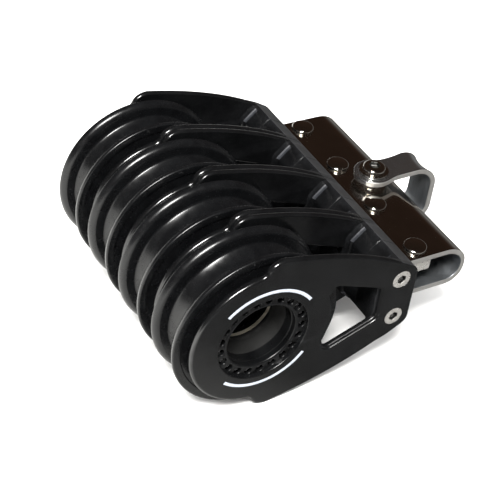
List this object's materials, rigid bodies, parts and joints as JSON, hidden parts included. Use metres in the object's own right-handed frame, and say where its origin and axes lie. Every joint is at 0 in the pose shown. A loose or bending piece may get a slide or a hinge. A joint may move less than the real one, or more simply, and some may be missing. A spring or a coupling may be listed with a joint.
{
  "type": "four-sheave ball bearing block",
  "caption": "Wide hollow-hub rope pulley block with sheaves side by side, a folded steel head strap and a swivelling becket",
  "frame": {"origin": "on the common axis of the sheaves, at the middle of the block's width", "axes": "+Y along the sheave axis away from the printed cheek, +X towards the head strap and becket, +Z towards the becket bolt's head"},
  "size_m": [0.1207, 0.096, 0.0588],
  "materials": {
    "cheek_plastic": "fine satin grain, black",
    "sheave_plastic": "glossy black",
    "hub_plastic": "satin black",
    "ball_plastic": "polished black",
    "polished_sheet": "polished stainless sheet with satin cut edges",
    "polished_steel": "polished stainless",
    "machined_steel": "turned stainless",
    "print_white": "pad-printed white ink"
  },
  "bodies": {
    "block_frame": {"cheek_front_1": "cheek_plastic", "cheek_back_1": "cheek_plastic", "cheek_front_2": "cheek_plastic", "cheek_back_2": "cheek_plastic", "cheek_front_3": "cheek_plastic", "cheek_back_3": "cheek_plastic", "cheek_front_4": "cheek_plastic", "cheek_back_4": "cheek_plastic", "hub_front_1": "hub_plastic", "hub_back_1": "hub_plastic", "hub_front_2": "hub_plastic", "hub_back_2": "hub_plastic", "hub_front_3": "hub_plastic", "hub_back_3": "hub_plastic", "hub_front_4": "hub_plastic", "hub_back_4": "hub_plastic", "hub_clip_1": "machined_steel", "hub_clip_2": "machined_steel", "hub_clip_3": "machined_steel", "hub_clip_4": "machined_steel", "cross_tube_upper": "machined_steel", "cross_tube_lower": "machined_steel", "cross_screws": "machined_steel", "printed_arcs": "print_white", "head_strap": "polished_sheet", "rivet_bar": "machined_steel", "strap_rivets": "polished_steel", "becket_bolt": "polished_steel", "bolt_washers": "polished_steel", "becket_spacers": "polished_steel", "bolt_nut": "polished_steel", "bolt_bush": "polished_steel"},
    "sheave_body_1": {"sheave_1": "sheave_plastic"},
    "sheave_body_2": {"sheave_2": "sheave_plastic"},
    "sheave_body_3": {"sheave_3": "sheave_plastic"},
    "sheave_body_4": {"sheave_4": "sheave_plastic"},
    "ball_train_1": {"ball_cage_1": "hub_plastic", "bearing_balls_1": "ball_plastic"},
    "ball_train_2": {"ball_cage_2": "hub_plastic", "bearing_balls_2": "ball_plastic"},
    "ball_train_3": {"ball_cage_3": "hub_plastic", "bearing_balls_3": "ball_plastic"},
    "ball_train_4": {"ball_cage_4": "hub_plastic", "bearing_balls_4": "ball_plastic"},
    "becket_body": {"becket": "polished_sheet"}
  },
  "joints": [
    {"name": "sheave_spin_1", "type": "hinge", "parent": "block_frame", "child": "sheave_body_1", "pos_m": [0, -0.036, 0], "axis": [0, 1, 0], "continuous": true},
    {"name": "sheave_spin_2", "type": "hinge", "parent": "block_frame", "child": "sheave_body_2", "pos_m": [0, -0.012, 0], "axis": [0, 1, 0], "continuous": true},
    {"name": "sheave_spin_3", "type": "hinge", "parent": "block_frame", "child": "sheave_body_3", "pos_m": [0, 0.012, 0], "axis": [0, 1, 0], "continuous": true},
    {"name": "sheave_spin_4", "type": "hinge", "parent": "block_frame", "child": "sheave_body_4", "pos_m": [0, 0.036, 0], "axis": [0, 1, 0], "continuous": true},
    {"name": "ball_orbit_1", "type": "hinge", "parent": "block_frame", "child": "ball_train_1", "pos_m": [0, -0.036, 0], "axis": [0, 1, 0], "continuous": true},
    {"name": "ball_orbit_2", "type": "hinge", "parent": "block_frame", "child": "ball_train_2", "pos_m": [0, -0.012, 0], "axis": [0, 1, 0], "continuous": true},
    {"name": "ball_orbit_3", "type": "hinge", "parent": "block_frame", "child": "ball_train_3", "pos_m": [0, 0.012, 0], "axis": [0, 1, 0], "continuous": true},
    {"name": "ball_orbit_4", "type": "hinge", "parent": "block_frame", "child": "ball_train_4", "pos_m": [0, 0.036, 0], "axis": [0, 1, 0], "continuous": true},
    {"name": "becket_swivel", "type": "hinge", "parent": "block_frame", "child": "becket_body", "pos_m": [0.0685, 0, 0], "axis": [0, 0, 1], "range_deg": [-40, 40]}
  ],
  "couplings": [
    {"joint": "ball_orbit_1", "follows": "sheave_spin_1", "ratio": 0.5563},
    {"joint": "ball_orbit_2", "follows": "sheave_spin_2", "ratio": 0.5563},
    {"joint": "ball_orbit_3", "follows": "sheave_spin_3", "ratio": 0.5563},
    {"joint": "ball_orbit_4", "follows": "sheave_spin_4", "ratio": 0.5563}
  ]
}
